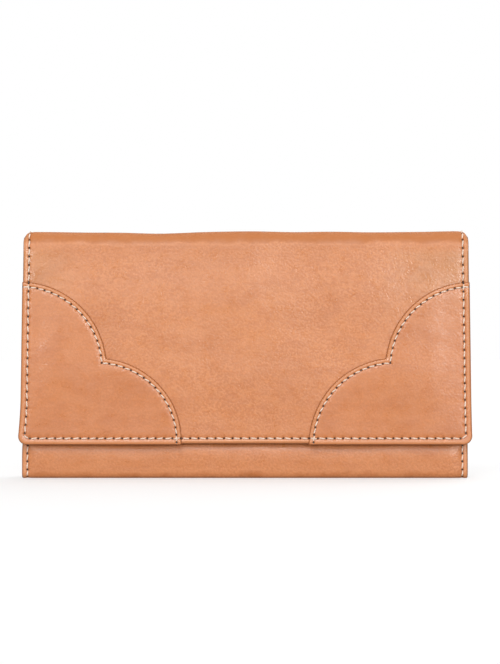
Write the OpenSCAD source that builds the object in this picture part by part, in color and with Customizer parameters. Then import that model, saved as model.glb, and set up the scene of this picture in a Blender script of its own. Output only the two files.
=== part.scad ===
// Long flap wallet. A leather wrap forms the back, the base, the front wall and a flap that folds
// over the top. Inside are two note compartments with a zipped coin pocket between them, and card
// slots on the back wall. Pleated gussets join the walls at the sides, and a magnetic snap holds
// the flap.
// X runs across the wallet, -Y is the front and +Z is up. The wallet stands on its base at Z = 0.

/* [Body] */
// Width of the back and of the front wall
body_w = 187.5; // [165:0.5:225]
// Height of the closed wallet
body_h = 104; // [88:1:125]
// Inside radius of the two folds over the top
fold_r = 4; // [3.3:0.1:5]
// Inside radius of the two folds at the base
base_fold_r = 1; // [0.8:0.1:1.4]
// How far the front wall's top edge lies below the top of the wallet
mouth_drop = 20; // [16:1:26]
// Joint gap between pieces that fold against each other
fold_gap = 0.3; // [0.2:0.05:0.4]

/* [Leather and lining] */
// Thickness of the outer leather
leather_t = 1.2; // [0.9:0.1:1.5]
// Thickness of the lining
lining_t = 0.6; // [0.4:0.05:0.75]
// Thickness of a card strip or of the slip pocket
pocket_t = 0.7; // [0.5:0.05:0.9]
// Thickness of the stiffening board in the flap
board_t = 0.5; // [0.4:0.05:0.6]
// Width of the turned hem round the flap
hem_w = 5; // [4:0.5:7]
// How far a lining stays back from the leather's edge
lining_inset = 0.8; // [0.5:0.1:1.2]

/* [Flap] */
// How far the flap widens on each side from its fold to its lower edge
flap_flare = 1.3; // [0.5:0.1:1.8]
// Height of the flap's lower edge above the base
flap_lift = 14.7; // [11:0.1:19]
// Radius of the flap's lower corners
flap_corner_r = 3.4; // [2:0.1:5]

/* [Corner panels] */
// Thickness of a corner panel
corner_t = 1; // [0.7:0.1:1.2]
// How far a corner panel reaches along the flap's side and along its lower edge
corner_reach = 68.3; // [56:0.1:78]
// Radius of each of the two scallops
corner_arc_r = 36.2; // [31:0.1:41]
// How far a corner panel is wrapped past the flap's edge
corner_overhang = 0.4; // [0.2:0.1:0.6]

/* [Compartments] */
// Depth of each note compartment
note_gap = 4.5; // [4.3:0.1:6]
// Depth inside the coin pocket
coin_gap = 4.3; // [4.1:0.1:6]
// Thickness of the coin pocket's walls
coin_wall_t = 0.9; // [0.7:0.1:1.1]
// How far the coin pocket stays back from each side of the wallet
coin_side_inset = 4.8; // [4:0.1:6]
// Space under the coin pocket
coin_floor_gap = 2.5; // [2:0.1:3]
// Thickness of the gussets
gusset_t = 0.6; // [0.5:0.05:0.7]
// How far a gusset's pleats reach in from the side
gusset_depth = 13; // [11:0.5:16]
// Clearance round the gussets
gusset_gap = 0.1; // [0.05:0.05:0.2]

/* [Card slots] */
// Number of card strips, one above the other
slot_rows = 4; // [3:1:5]
// Width of one card slot; each strip holds two side by side
slot_w = 88.5; // [87:0.1:90]
// Height from one strip's top edge to the next
slot_step = 12; // [10:0.5:14]
// Distance from the top of the wallet to the first strip's top edge
slot_drop = 15; // [12:0.5:18]

/* [Zip] */
// Length of the row of teeth
zip_len = 152; // [126:1:156]
// Distance between teeth on one tape
tooth_pitch = 2.4; // [2.2:0.1:2.9]
// Width of the closed chain of teeth
chain_w = 4.4; // [4:0.1:4.6]
// Thickness of the chain
chain_t = 1.6; // [1.4:0.1:2]
// Thickness of the zip's tape
tape_t = 0.4; // [0.3:0.05:0.5]
// Length of the slider
slider_len = 9; // [8:0.5:10]
// Thickness of the slider's plates
slider_plate_t = 0.9; // [0.7:0.1:1.1]
// Length of the pull from its pin
pull_len = 17; // [14:0.5:20.5]
// Width of the pull
pull_w = 5; // [4:0.1:6]
// Thickness of the pull
pull_t = 1.2; // [1:0.1:1.5]
// Radius of the pin that holds the pull
pin_r = 0.6; // [0.5:0.05:0.7]
// Running clearance round the pin
pin_gap = 0.1; // [0.05:0.01:0.15]

/* [Magnetic snap] */
// Radius of both halves of the snap
snap_r = 7; // [5.8:0.1:8.4]
// Thickness of the socket on the front wall
socket_t = 1.7; // [1.5:0.1:2.1]
// Thickness of the stud's flange on the flap
flange_t = 0.7; // [0.5:0.05:0.9]
// Radius of the stud
stud_r = 2.4; // [2:0.1:2.8]
// Height of the snap's centre above the flap's lower edge
snap_rise = 20; // [16:0.5:24]
// Thickness of the washers that the snap's legs are bent over
washer_t = 0.4; // [0.3:0.05:0.5]

/* [Thread] */
// Distance from one stitch to the next
stitch_pitch = 3.5; // [2.9:0.1:4.2]
// Distance from a leather edge to its row of stitches
stitch_inset = 2.3; // [1.9:0.1:2.8]
// Thickness of the thread
thread_w = 0.6; // [0.4:0.05:0.8]
// How far the thread stands out of the leather
thread_rise = 0.3; // [0.2:0.05:0.4]

/* [Hidden] */
$fn = 48;
far = 1000;
touch = 0.02; // how far parts of one piece run into each other
half_turn = 45; // each fold's axis lies halfway round its quarter turn

// Gap between the flap and the front wall, which the snap fills
snap_clearance = 0.2;
flap_gap = socket_t + flange_t + snap_clearance;

// Faces from front to back
coin_depth = coin_gap + 2 * coin_wall_t;
depth = corner_t + leather_t + board_t + lining_t + flap_gap + leather_t + lining_t + pocket_t
    + note_gap + coin_depth + note_gap + slot_rows * pocket_t + lining_t + leather_t;
y_corner = -depth / 2;
y_flap = y_corner + corner_t;
y_board = y_flap + leather_t;
y_flap_lining = y_board + board_t;
y_flap_in = y_flap_lining + lining_t;
y_front = y_flap_in + flap_gap;
y_front_lining = y_front + leather_t;
y_front_in = y_front_lining + lining_t;
y_coin = y_front_in + pocket_t + note_gap;
y_coin_back = y_coin + coin_depth;
y_coin_mid = y_coin + coin_depth / 2;
y_back = depth / 2;
y_back_in = y_back - leather_t - lining_t;
y_strip_face = y_back_in - slot_rows * pocket_t;

// Heights
fold_out = fold_r + leather_t;
base_out = base_fold_r + leather_t;
fold_z = body_h - fold_out;
inside_floor = leather_t + lining_t;
front_top = body_h - mouth_drop;
snap_z = flap_lift + snap_rise;
coin_floor = inside_floor + coin_floor_gap;

// Zip, from the top of the wallet down: the pull stands up clear of the top fold
pull_headroom = 2;
eye_r = pin_r + pin_gap + 0.6;
eye_gap = 0.2;
slider_gap = 0.2;
tape_gap = 0.05;
stop_len = 1.5;
pin_z = body_h - leather_t - lining_t - pull_headroom - pull_len;
slider_top = pin_z - eye_r - eye_gap;
chain_top = slider_top - slider_plate_t - slider_gap;
chain_z = chain_top - chain_t;
coin_top = chain_z - 2 * tape_gap;
tooth_overlap = 0.4;
tooth_gap = 0.2;
teeth = floor(zip_len / tooth_pitch);
chain_end = teeth * tooth_pitch / 2;
post_len = 1.5;
slider_tail = chain_end - 4; // where the closed slider's tail grips the teeth
slider_x = -slider_tail - slider_len / 2;
lug_t = 0.8;
lug_gap = 0.2;
neck_w = 3.4;
neck_len = 3;

// Gusset corners
gusset_edge = body_w / 2 - 1.5;
gusset_valley = body_w / 2 - gusset_depth;
gusset_top = min(front_top, coin_top) - 3;
gusset_flat = 0.5;
coin_w = body_w - 2 * coin_side_inset;
coin_end_t = 0.6;
slip_drop = 22;

// Widths across the flap
flap_half = body_w / 2 + flap_flare;

function arc(cx, cz, r, from, to, n = 8) =
    [for (i = [0:n]) let (a = from + (to - from) * i / n) [cx + r * cos(a), cz + r * sin(a)]];
function unit(v) = v / norm(v);
function normal(v) = [-v[1], v[0]];
// The point where two offset runs of a line meet
function mitre(p, i, h) =
    let (a = unit(i == 0 ? p[1] - p[0] : p[i] - p[i - 1]))
    let (b = i == len(p) - 1 ? a : unit(p[i + 1] - p[i]))
    let (n = unit(normal(a) + normal(b)))
    p[i] + n * h / (n * normal(a));
// Half the flap's width at a height
function flap_half_at(z) = body_w / 2 + flap_flare * (fold_z - z) / (fold_z - flap_lift);
function trim_angle(r) = asin(fold_gap / 2 / r);

// Turns an outline in Y and Z into a bar of that section across X
module across(w) rotate([90, 0, 90]) linear_extrude(w, center = true) children();
// Turns an outline in X and Z into a plate between two depths
module plate(y, t) translate([0, y + t, 0]) rotate([90, 0, 0]) linear_extrude(t) children();
module block(low, high) translate(low) cube(high - low);
module box2(y0, z0, y1, z1) translate([y0, z0]) square([y1 - y0, z1 - z0]);
module band(c, r, t, from, to) {
    mid = (from + to) / 2;
    intersection() {
        translate(c) difference() {
            circle(r);
            circle(r - t);
        }
        polygon([c, c + 2 * r * [cos(from), sin(from)], c + 3 * r * [cos(mid), sin(mid)],
                 c + 2 * r * [cos(to), sin(to)]]);
    }
}
module ribbon(p, t) polygon(concat(
    [for (i = [0:len(p) - 1]) mitre(p, i, t / 2)],
    [for (i = [len(p) - 1:-1:0]) mitre(p, i, -t / 2)]));

// Section of a sheet in the back, a depth under the outer face: up the back, under the base and
// halfway round the front fold
module back_section(under, t) {
    top = [y_back - fold_out, fold_z];
    heel = [y_back - base_out, base_out];
    toe = [y_front + base_out, base_out];
    band(top, fold_out - under, t, 0, half_turn - trim_angle(fold_out));
    box2(y_back - under - t, base_out - touch, y_back - under, fold_z + touch);
    band(heel, base_out - under, t, 270, 360);
    box2(toe[0] - touch, under, heel[0] + touch, under + t);
    band(toe, base_out - under, t, 270 - half_turn + trim_angle(base_out), 270);
}
// Section of a sheet over the top, between the middles of its two folds
module top_section(under, t) {
    rear = [y_back - fold_out, fold_z];
    fore = [y_flap + fold_out, fold_z];
    trim = trim_angle(fold_out);
    band(rear, fold_out - under, t, half_turn + trim, 90);
    box2(fore[0] - touch, body_h - under - t, rear[0] + touch, body_h - under);
    band(fore, fold_out - under, t, 90, 180 - half_turn - trim);
}
// Section of the flap's half of its fold
module flap_fold_section(under, t)
    band([y_flap + fold_out, fold_z], fold_out - under, t, 180 - half_turn + trim_angle(fold_out), 180);
// Section of a sheet in the front wall, up to a height
module front_section(under, t, top) {
    band([y_front + base_out, base_out], base_out - under, t, 180, 270 - half_turn - trim_angle(base_out));
    box2(y_front + under, base_out - touch, y_front + under + t, top);
}

// The flap's outline below its fold, an inset in from its sides and its lower edge
module flap_outline(inset = 0, top = fold_z) {
    r = max(flap_corner_r - inset, 0.6);
    low = flap_lift + inset;
    side = flap_half_at(low + r) - inset;
    polygon(concat(
        [[-flap_half_at(top) + inset, top]],
        arc(-side + r, low + r, r, 180, 270),
        arc(side - r, low + r, r, 270, 360),
        [[flap_half_at(top) - inset, top]]));
}
// A corner panel's outline at the left: two scallops that meet in a cusp
module corner_outline() intersection() {
    flap_outline(-corner_overhang);
    union() {
        translate([-flap_half, flap_lift + corner_reach - corner_arc_r]) circle(corner_arc_r);
        translate([-flap_half + corner_reach - corner_arc_r, flap_lift]) circle(corner_arc_r);
    }
}

// One stitch lying along an angle in the XZ plane, on a face at depth y that looks to the front
module stitch(p, angle, y) translate([p[0], y - thread_rise / 2, p[1]]) rotate([0, -angle, 0])
    cube([stitch_pitch * 0.8, thread_rise, thread_w], center = true);
module stitch_row(p, q, y) {
    n = max(1, floor(norm(q - p) / stitch_pitch));
    run = (q - p) / n;
    for (i = [0:n - 1]) stitch(p + run * (i + 0.5), atan2(run[1], run[0]), y);
}
module stitch_arc(c, r, from, to, y) {
    n = floor(abs(to - from) * PI / 180 * r / stitch_pitch);
    step = (to - from) / n;
    for (i = [0:n - 1]) let (a = from + step * (i + 0.5))
        stitch(c + r * [cos(a), sin(a)], a + 90, y);
}
// The same row on the left and on the right
module both_sides() {
    children();
    mirror([1, 0, 0]) children();
}

module back_leather() color("peru") across(body_w) back_section(0, leather_t);
module back_lining() color("tan") across(body_w - 2 * lining_inset) back_section(leather_t, lining_t);
module card_strip(row) color("peru") plate(y_back_in - row * pocket_t, pocket_t) {
    top = body_h - slot_drop - (row - 1) * slot_step;
    translate([-slot_w, base_out]) square([2 * slot_w, top - base_out]);
}
module thread_back_sides() color("ivory") both_sides() mirror([0, 1, 0])
    stitch_row([body_w / 2 - stitch_inset, base_out], [body_w / 2 - stitch_inset, fold_z], -y_back);
module thread_card_strips() color("ivory") for (row = [1:slot_rows]) {
    top = body_h - slot_drop - (row - 1) * slot_step;
    bottom = row == slot_rows ? base_out + slot_step : top - slot_step;
    stitch_row([0, bottom + thread_w], [0, top - thread_w], y_back_in - row * pocket_t);
}

// The right-hand gusset: a pleat into each note compartment, wrapped round the coin pocket's end
module gusset() color("peru") translate([0, 0, inside_floor + gusset_gap])
    linear_extrude(gusset_top - inside_floor - gusset_gap) {
        off = gusset_t / 2 + gusset_gap;
        fore = (y_front_in + y_coin) / 2;
        rear = (y_coin_back + y_strip_face) / 2;
        wrap = coin_w / 2 + off;
        ribbon([[gusset_edge, y_front_in + off], [gusset_valley, fore - gusset_flat],
                [gusset_valley, fore + gusset_flat], [wrap, y_coin - off], [wrap, y_coin_back + off],
                [gusset_valley, rear - gusset_flat], [gusset_valley, rear + gusset_flat],
                [gusset_edge, y_strip_face - off]], gusset_t);
    }

module top_leather() color("peru") across(body_w) top_section(0, leather_t);
module top_lining() color("tan") across(body_w - 2 * lining_inset) top_section(leather_t, lining_t);

// The lining steps back from the leather to pass over the board
lining_step_z = fold_z - 4;
module flap_leather() color("peru") {
    across(body_w) flap_fold_section(0, leather_t);
    plate(y_flap, leather_t) flap_outline(top = fold_z + touch);
    plate(y_board - touch, board_t + touch) difference() {
        flap_outline(top = lining_step_z - lining_t);
        flap_outline(hem_w, far);
    }
}
module flap_board() color("sienna") plate(y_board, board_t) difference() {
    flap_outline(hem_w + gusset_gap, lining_step_z - lining_t - gusset_gap);
    translate([0, snap_z]) circle(snap_r + gusset_gap);
}
module flap_lining() color("tan") {
    across(body_w - 2 * lining_inset) flap_fold_section(leather_t, lining_t);
    plate(y_board, lining_t) intersection() {
        flap_outline(lining_inset, fold_z + touch);
        translate([-far / 2, lining_step_z - lining_t]) square(far);
    }
    plate(y_flap_lining, lining_t) difference() {
        flap_outline(lining_inset, lining_step_z);
        leg_slots(gusset_gap);
    }
}
module corner_panel() color("chocolate") plate(y_corner, corner_t) corner_outline();

// Rows inside the flap's sides and lower edge, lifted where a corner panel covers the flap
module thread_flap_border() color("ivory") {
    low = flap_lift + stitch_inset;
    start = flap_corner_r * 1.4;
    panel_top = flap_lift + corner_reach;
    panel_in = flap_half - corner_reach;
    both_sides() {
        stitch_row([flap_half_at(panel_top) - stitch_inset, panel_top + thread_w],
                   [body_w / 2 - stitch_inset, fold_z], y_flap);
        stitch_row([flap_half_at(low) - stitch_inset, flap_lift + start],
                   [flap_half_at(panel_top) - stitch_inset, panel_top - thread_w], y_corner);
        stitch_row([panel_in + thread_w, low], [flap_half - start, low], y_corner);
    }
    stitch_row([-panel_in + thread_w, low], [panel_in - thread_w, low], y_flap);
}
// Two rows inside the scallops of the left-hand panel
module thread_corner() color("ivory") {
    r = corner_arc_r - stitch_inset;
    c = corner_reach - corner_arc_r;
    cusp = (c + sqrt(2 * r * r - c * c)) / 2;
    ends = asin((2 * stitch_inset + thread_w) / r);
    cusp_angle = acos(cusp / r);
    from = 90 - ends;
    to = cusp_angle * sign(cusp - c) + 180 * thread_w / PI / r;
    translate([-flap_half, 0, flap_lift]) {
        stitch_arc([0, c], r, from, to, y_corner);
        stitch_arc([c, 0], r, 90 - from, 90 - to, y_corner);
    }
}

// Slots for the two legs of each half of the snap
leg_w = 4;
leg_t = 0.5;
leg_x = 3.6;
module leg_slots(gap = 0) for (side = [-1, 1])
    translate([side * leg_x - leg_t / 2 - gap, snap_z - leg_w / 2 - gap])
        square([leg_t + 2 * gap, leg_w + 2 * gap]);
module snap_disc(y, t, r) plate(y, t) translate([0, snap_z]) circle(r);
module snap_stud() color("darkgoldenrod") {
    snap_disc(y_flap_in, flange_t, snap_r);
    snap_disc(y_flap_in + flange_t - touch, socket_t - snap_clearance, stud_r);
    plate(y_flap_lining - washer_t, lining_t + washer_t + touch) leg_slots();
}
module snap_stud_washer() color("silver") plate(y_flap_lining - washer_t, washer_t) difference() {
    translate([0, snap_z]) circle(snap_r);
    leg_slots(gusset_gap);
}
stud_gap = 0.4;
shell_t = 0.3;
module snap_socket() color("darkgoldenrod") {
    bore = stud_r + stud_gap;
    plate(y_front - socket_t, shell_t) socket_ring(bore, snap_r);
    plate(y_front - socket_t, socket_t) socket_ring(snap_r - shell_t, snap_r);
    plate(y_front - socket_t, socket_t) socket_ring(bore, bore + shell_t);
    plate(y_front - shell_t, shell_t) socket_ring(bore, snap_r);
    plate(y_front - touch, leather_t + washer_t + touch) leg_slots();
}
module socket_ring(inner, outer) translate([0, snap_z]) difference() {
    circle(outer);
    circle(inner);
}
module snap_magnet() color("dimgray")
    plate(y_front - socket_t + shell_t, socket_t - 2 * shell_t)
        socket_ring(stud_r + stud_gap + shell_t, snap_r - shell_t);
module snap_socket_washer() color("silver") plate(y_front_lining, washer_t) difference() {
    translate([0, snap_z]) circle(snap_r);
    leg_slots(gusset_gap);
}

module front_leather() color("peru") difference() {
    across(body_w) front_section(0, leather_t, front_top);
    plate(y_front - touch, leather_t + 2 * touch) leg_slots(gusset_gap);
}
module front_lining() color("tan") difference() {
    across(body_w - 2 * lining_inset) front_section(leather_t, lining_t, front_top - lining_inset);
    plate(y_front_lining - touch, lining_t + 2 * touch) translate([0, snap_z]) circle(snap_r + gusset_gap);
}
module front_slip_pocket() color("peru") plate(y_front_in, pocket_t) {
    half = gusset_valley - gusset_t - 4 * gusset_gap;
    translate([-half, base_out]) square([2 * half, front_top - slip_drop - base_out]);
}
module thread_front_sides() color("ivory") both_sides()
    stitch_row([body_w / 2 - stitch_inset, base_out], [body_w / 2 - stitch_inset, front_top], y_front);

module coin_front_wall() color("peru") {
    plate(y_coin, coin_wall_t) translate([-coin_w / 2, coin_floor]) square([coin_w, coin_top - coin_floor]);
    block([-coin_w / 2, y_coin, coin_floor], [coin_w / 2, y_coin_back - coin_wall_t, coin_floor + coin_wall_t]);
}
module coin_back_wall() color("peru") plate(y_coin_back - coin_wall_t, coin_wall_t)
    translate([-coin_w / 2, coin_floor]) square([coin_w, coin_top - coin_floor]);
// The right-hand end of the coin pocket
module coin_end() color("peru") block(
    [coin_w / 2 - coin_end_t, y_coin + coin_wall_t, coin_floor + coin_wall_t],
    [coin_w / 2, y_coin_back - coin_wall_t, coin_top]);

// The front half of the zip; the back half mirrors it about the pocket's middle
module zip_back_half() translate([tooth_pitch / 2, 2 * y_coin_mid, 0]) mirror([0, 1, 0]) children();
module zip_tape() color("saddlebrown") block(
    [-chain_end - 6, y_coin, coin_top + tape_gap],
    [chain_end + 4, y_coin_mid - chain_w / 2, coin_top + tape_gap + tape_t]);
module zip_teeth() color("goldenrod") for (i = [0:teeth - 1]) {
    x = -chain_end + i * tooth_pitch;
    block([x + tooth_gap / 2, y_coin_mid - chain_w / 2, chain_z],
          [x + tooth_pitch / 2 - tooth_gap / 2, y_coin_mid + tooth_overlap, chain_top]);
}
// Two stops in front of the closed slider and one at the other end of the teeth
module zip_stops() color("goldenrod") {
    top_x = -slider_tail - slider_len - slider_gap;
    low_x = chain_end + tooth_gap;
    for (y = [y_coin_mid - chain_w / 2, y_coin_mid + tooth_overlap])
        block([top_x - stop_len, y, chain_z], [top_x, y + chain_w / 2 - tooth_overlap, chain_top]);
    block([low_x, y_coin_mid - chain_w / 2, chain_z], [low_x + stop_len, y_coin_mid + chain_w / 2, chain_top]);
}
module zip_slider() color("goldenrod") translate([slider_x, y_coin_mid, 0]) {
    cheek = chain_w / 2 + slider_gap;
    outer = cheek + slider_plate_t * 0.8;
    under = coin_gap / 2 - 0.25;
    lug_in = neck_w / 2 + lug_gap;
    block([-slider_len / 2, -outer, chain_top + slider_gap], [slider_len / 2, outer, slider_top]);
    block([-slider_len / 2, -under, coin_top - slider_gap - slider_plate_t],
          [slider_len / 2, under, coin_top - slider_gap]);
    block([-slider_len / 2, -0.7, coin_top - slider_gap - touch],
          [-slider_len / 2 + post_len, 0.7, chain_top + slider_gap + touch]);
    for (side = [-1, 1]) {
        block([-slider_len / 2, side * (cheek + outer) / 2 - (outer - cheek) / 2, coin_top + tape_t + 3 * tape_gap],
              [slider_len / 2, side * (cheek + outer) / 2 + (outer - cheek) / 2, slider_top]);
        difference() {
            block([-eye_r, side * (lug_in + lug_t / 2) - lug_t / 2, slider_top - touch],
                  [eye_r, side * (lug_in + lug_t / 2) + lug_t / 2, pin_z + eye_r]);
            translate([0, 0, pin_z]) rotate([90, 0, 0]) cylinder(r = pin_r, h = far, center = true);
        }
    }
}
module zip_pin() color("silver") translate([slider_x, y_coin_mid, pin_z]) rotate([90, 0, 0])
    cylinder(r = pin_r, h = neck_w + 2 * (lug_gap + lug_t), center = true);
module zip_pull() color("goldenrod") translate([slider_x, y_coin_mid, pin_z]) difference() {
    union() {
        rotate([90, 0, 0]) cylinder(r = eye_r, h = neck_w, center = true);
        block([0, -neck_w / 2, -pull_t / 2], [neck_len + touch, neck_w / 2, pull_t / 2]);
        translate([0, 0, -pull_t / 2]) linear_extrude(pull_t) {
            translate([neck_len, -pull_w / 2]) square([pull_len - neck_len - pull_w / 2, pull_w]);
            translate([pull_len - pull_w / 2, 0]) circle(pull_w / 2);
        }
    }
    rotate([90, 0, 0]) cylinder(r = pin_r + pin_gap, h = far, center = true);
    translate([pull_len - pull_w / 2, 0, 0]) cylinder(r = pull_w / 4, h = far, center = true);
}

back_leather();
back_lining();
for (row = [1:slot_rows]) card_strip(row);
thread_back_sides();
thread_card_strips();
mirror([1, 0, 0]) gusset();  // gusset_left
gusset();  // gusset_right
top_leather();
top_lining();
flap_leather();
flap_board();
flap_lining();
corner_panel();  // corner_panel_left
mirror([1, 0, 0]) corner_panel();  // corner_panel_right
thread_flap_border();
thread_corner();  // thread_corner_left
mirror([1, 0, 0]) thread_corner();  // thread_corner_right
snap_stud();
snap_stud_washer();
front_leather();
front_lining();
front_slip_pocket();
thread_front_sides();
snap_socket();
snap_magnet();
snap_socket_washer();
coin_front_wall();
coin_back_wall();
mirror([1, 0, 0]) coin_end();  // coin_end_left
coin_end();  // coin_end_right
zip_stops();
zip_tape();  // zip_tape_front
zip_teeth();  // zip_teeth_front
translate([-tooth_pitch / 2, 0, 0]) zip_back_half() zip_tape();  // zip_tape_back
zip_back_half() zip_teeth();  // zip_teeth_back
zip_slider();
zip_pin();
zip_pull();
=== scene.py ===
"""A long leather wallet with a scalloped flap, standing closed on a pale floor.

Lengths are in millimetres until a mesh is made. A sheet of leather is described by points (x, s, depth):
s runs along the leather's outer face from the front wall's top edge, down, under the base, up the back,
over the top and down the flap, and depth is how far a point lies below that face.
"""

import math

import bmesh
import bpy
import numpy as np
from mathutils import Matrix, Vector
from mathutils.geometry import delaunay_2d_cdt


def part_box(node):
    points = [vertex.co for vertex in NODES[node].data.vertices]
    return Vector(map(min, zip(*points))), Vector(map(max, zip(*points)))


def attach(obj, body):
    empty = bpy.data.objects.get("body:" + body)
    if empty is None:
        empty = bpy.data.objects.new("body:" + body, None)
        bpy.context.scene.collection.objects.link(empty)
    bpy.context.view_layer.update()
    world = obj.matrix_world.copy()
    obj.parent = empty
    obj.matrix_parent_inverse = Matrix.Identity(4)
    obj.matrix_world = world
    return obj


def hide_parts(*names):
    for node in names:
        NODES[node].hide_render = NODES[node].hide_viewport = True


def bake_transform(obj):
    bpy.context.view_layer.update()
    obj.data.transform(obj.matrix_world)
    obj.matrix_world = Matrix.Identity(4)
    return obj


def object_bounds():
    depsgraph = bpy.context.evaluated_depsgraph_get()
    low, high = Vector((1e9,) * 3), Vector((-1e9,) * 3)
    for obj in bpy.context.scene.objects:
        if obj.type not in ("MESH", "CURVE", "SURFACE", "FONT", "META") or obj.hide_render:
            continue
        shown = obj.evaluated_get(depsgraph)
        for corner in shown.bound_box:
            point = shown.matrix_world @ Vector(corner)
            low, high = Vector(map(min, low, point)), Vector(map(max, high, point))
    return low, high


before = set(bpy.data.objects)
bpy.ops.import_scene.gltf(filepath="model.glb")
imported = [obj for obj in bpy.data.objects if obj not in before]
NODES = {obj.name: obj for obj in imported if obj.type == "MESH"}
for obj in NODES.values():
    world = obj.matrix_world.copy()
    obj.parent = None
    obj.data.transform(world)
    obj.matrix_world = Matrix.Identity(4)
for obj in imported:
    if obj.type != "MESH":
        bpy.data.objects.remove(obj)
CAD_BOX = [list(corner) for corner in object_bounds()]
SCENE = bpy.context.scene
X, Y, Z = 0, 1, 2
SIDES = (("left", -1), ("right", 1))


def low(node, axis):
    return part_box(node)[0][axis] * 1000


def high(node, axis):
    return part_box(node)[1][axis] * 1000


def middle_of(node, axis):
    return (low(node, axis) + high(node, axis)) / 2


# thicknesses, the outer radii of the folds, and the stitches' distance from the edge and from each other
LEATHER = 1.2
LINING = 0.6
BOARD = 0.5
POCKET = 0.7
FOLD_R = 5.2
BASE_R = 2.2
INSET = 2.3
PITCH = 3.5
LINING_INSET = 0.8
Y_FRONT = low("front_leather", Y)
Y_BACK = high("back_leather", Y)
Y_FLAP = low("flap_leather", Y)
TOP = high("top_leather", Z)
FRONT_TOP = high("front_leather", Z)
FLAP_LOW = low("flap_leather", Z)
HALF = high("back_leather", X)
FLAP_HALF = high("flap_leather", X)
COIN_TOP = high("coin_back_wall", Z)
COIN_LOW = low("coin_front_wall", Z)
COIN_HALF = high("coin_back_wall", X)
Y_COIN = low("coin_front_wall", Y)
Y_COIN_BACK = high("coin_back_wall", Y)
Y_COIN_MID = (Y_COIN + Y_COIN_BACK) / 2
SNAP_Z = middle_of("snap_stud", Z)


# ---- paths
class Path:
    """A line in the YZ plane through points, its corners rounded, with its outer normal. It starts
    downward and turns left by a right angle at each corner."""

    def __init__(self, points, radii):
        self.runs = []
        self.length = 0.0
        points = np.array(points, float)
        here = points[0]
        for k, (corner, r) in enumerate(zip(points[1:], [*radii, 0.0])):
            way = (corner - here) / np.linalg.norm(corner - here)
            stop = corner - way * r
            self.add(np.linalg.norm(stop - here), here, way)
            if r:
                centre = stop + r * np.array([-way[1], way[0]])
                self.add(math.pi / 2 * r, centre, (r, math.pi * (1 + k / 2)))
                here = corner + r * np.array([-way[1], way[0]])

    def add(self, size, a, b):
        self.runs.append((self.length, size, a, b))
        self.length += size

    def at(self, s):
        """Points and outer normals at lengths s; a length past an end goes straight on."""
        s = np.asarray(s, float)
        p = np.zeros((len(s), 2))
        n = np.zeros((len(s), 2))
        for k, (start, size, a, b) in enumerate(self.runs):
            here = np.ones(len(s), bool)
            if k > 0:
                here &= s >= start
            if k < len(self.runs) - 1:
                here &= s < start + size
            u = s[here] - start
            if k % 2 == 0:  # a straight run from a along b
                p[here] = a + u[:, None] * b
                n[here] = (b[1], -b[0])
            else:  # an arc round a, of radius and first angle b
                angle = b[1] + u / b[0]
                n[here] = np.stack([np.cos(angle), np.sin(angle)], 1)
                p[here] = a + b[0] * n[here]
        return p, n


WRAP = Path(
    [(Y_FRONT, FRONT_TOP), (Y_FRONT, 0), (Y_BACK, 0), (Y_BACK, TOP), (Y_FLAP, TOP), (Y_FLAP, FLAP_LOW)],
    [BASE_R, BASE_R, FOLD_R, FOLD_R],
)
S_TOE, S_BASE, S_HEEL, S_BACK, S_REAR, S_TOP, S_FORE, S_FLAP = [run[0] for run in WRAP.runs[1:]]
S_MID_BASE = (S_BASE + S_HEEL) / 2
S_MID_TOP = (S_TOP + S_FORE) / 2
S_END = WRAP.length


def smooth(t):
    t = np.clip(t, 0, 1)
    return t * t * (3 - 2 * t)


def s_front(z):
    return FRONT_TOP - z


def s_back(z):
    return S_BACK + z - BASE_R


def s_flap(z):
    return S_FLAP + (TOP - FOLD_R) - z


def half_at(s):
    """Half the leather's width: the flap flares below its fold."""
    return HALF + (FLAP_HALF - HALF) * np.clip((np.asarray(s) - S_FLAP) / (S_END - S_FLAP), 0, 1.2)


# soft waves: height, how far each runs along x and along s, and phase
WAVES = ((0.16, 13.0, 31.0, 0.6), (0.14, 7.7, -19.0, 2.1), (0.1, 29.0, 11.0, 4.0), (0.06, 4.6, 9.0, 0.0))
SNAP_FLAT, SNAP_FADE = 9, 18  # the leather is flat this far round the snap, and waves again beyond
SWELL_HIGH, SWELL_EDGE = 0.8, 2.2  # the flap's padding, and how far in from the edge it begins
PAUNCH_DEEP, PAUNCH_LESS = 1.3, 0.55  # the foot's bulge, and the share it loses towards the base
LEAN_SLOPE, LEAN_SHIFT = 0.0072, -0.475  # how the foot spreads per mm of x, and how far it shifts


def billow(x, s):
    """How far the leather stands proud of flat, in soft waves that leave the base and the snap alone.
    The top fold rises a little, unevenly, and is pinched at its two ends."""
    wave = sum(height * np.sin(x / across + s / along + phase) for height, across, along, phase in WAVES)
    free = np.clip(smooth((S_TOE - 4 - s) / 14) + smooth((s - S_BACK - 4) / 14), 0, 1)
    for z in (TOP - FOLD_R - (s - S_FLAP), FRONT_TOP - s):
        free = free * smooth((np.hypot(x, z - SNAP_Z) - SNAP_FLAT) / SNAP_FADE)
    on_top = smooth((s - S_REAR) / 5) * smooth((S_FLAP - s) / 5)
    rise = 0.2 + 0.14 * np.sin(x / 17.0 + 1.1) + 0.12 * np.sin(x / 41.0 + 0.4)
    out = np.abs(x) - HALF
    pinch = 0.5 * smooth((out + 4.5) / 4.5) + 1.5 * smooth((out + 2.4) / 2.4) ** 2
    return wave * free + (rise - pinch) * on_top


def paunch(x, s):
    """How far the front wall's foot bulges forward below the flap's edge, with the front of the base."""
    foot = PAUNCH_DEEP * (1 - PAUNCH_LESS * smooth((s - s_front(10)) / 10))
    along = smooth((s - s_front(17)) / 5.5) * smooth((S_BASE + 9 - s) / 9)
    return foot * along * smooth((HALF + 1 - np.abs(x)) / 9)


def lean(x, z):
    """How far the soft foot of the wallet has spread sideways, more to its left than to its right."""
    return (LEAN_SLOPE * x + LEAN_SHIFT) * smooth((34 - z) / 26)


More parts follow.
